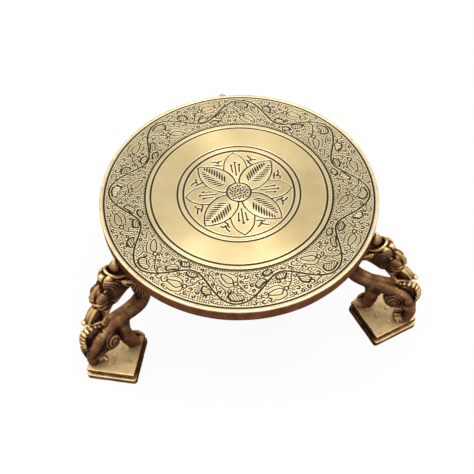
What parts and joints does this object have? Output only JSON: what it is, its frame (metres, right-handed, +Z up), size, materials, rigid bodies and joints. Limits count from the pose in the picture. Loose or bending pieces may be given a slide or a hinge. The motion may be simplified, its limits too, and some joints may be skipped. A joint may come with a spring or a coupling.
{
  "type": "low offering table",
  "caption": "Low round brass offering table: an engraved disc with a turned-down skirt, carried on lion-dragon figures that stand on stepped square plinths.",
  "frame": {"origin": "on the floor at the middle of the whole table's bounding box; the top's own axis stands 23.4 mm towards -Y from it", "axes": "+Z up, out of the engraved top; -Y towards the two front figures; +X to the right figure's side"},
  "size_m": [0.2657, 0.25, 0.122],
  "materials": {
    "plate_brass": "satin cast brass, engraved lines filled with dark patina",
    "figure_brass": "antiqued cast brass, dark in the hollows and rubbed bright on the ridges",
    "plinth_brass": "cast brass, rubbed bright on top and dark on the sides",
    "screw_brass": "turned brass"
  },
  "bodies": {
    "root": {"top_plate": "plate_brass", "beast_left": "figure_brass", "beast_right": "figure_brass", "beast_rear": "figure_brass", "plinth_left": "plinth_brass", "plinth_right": "plinth_brass", "plinth_rear": "plinth_brass", "leg_screws": "screw_brass", "leg_washers": "screw_brass", "plinth_screws": "screw_brass"}
  },
  "joints": []
}
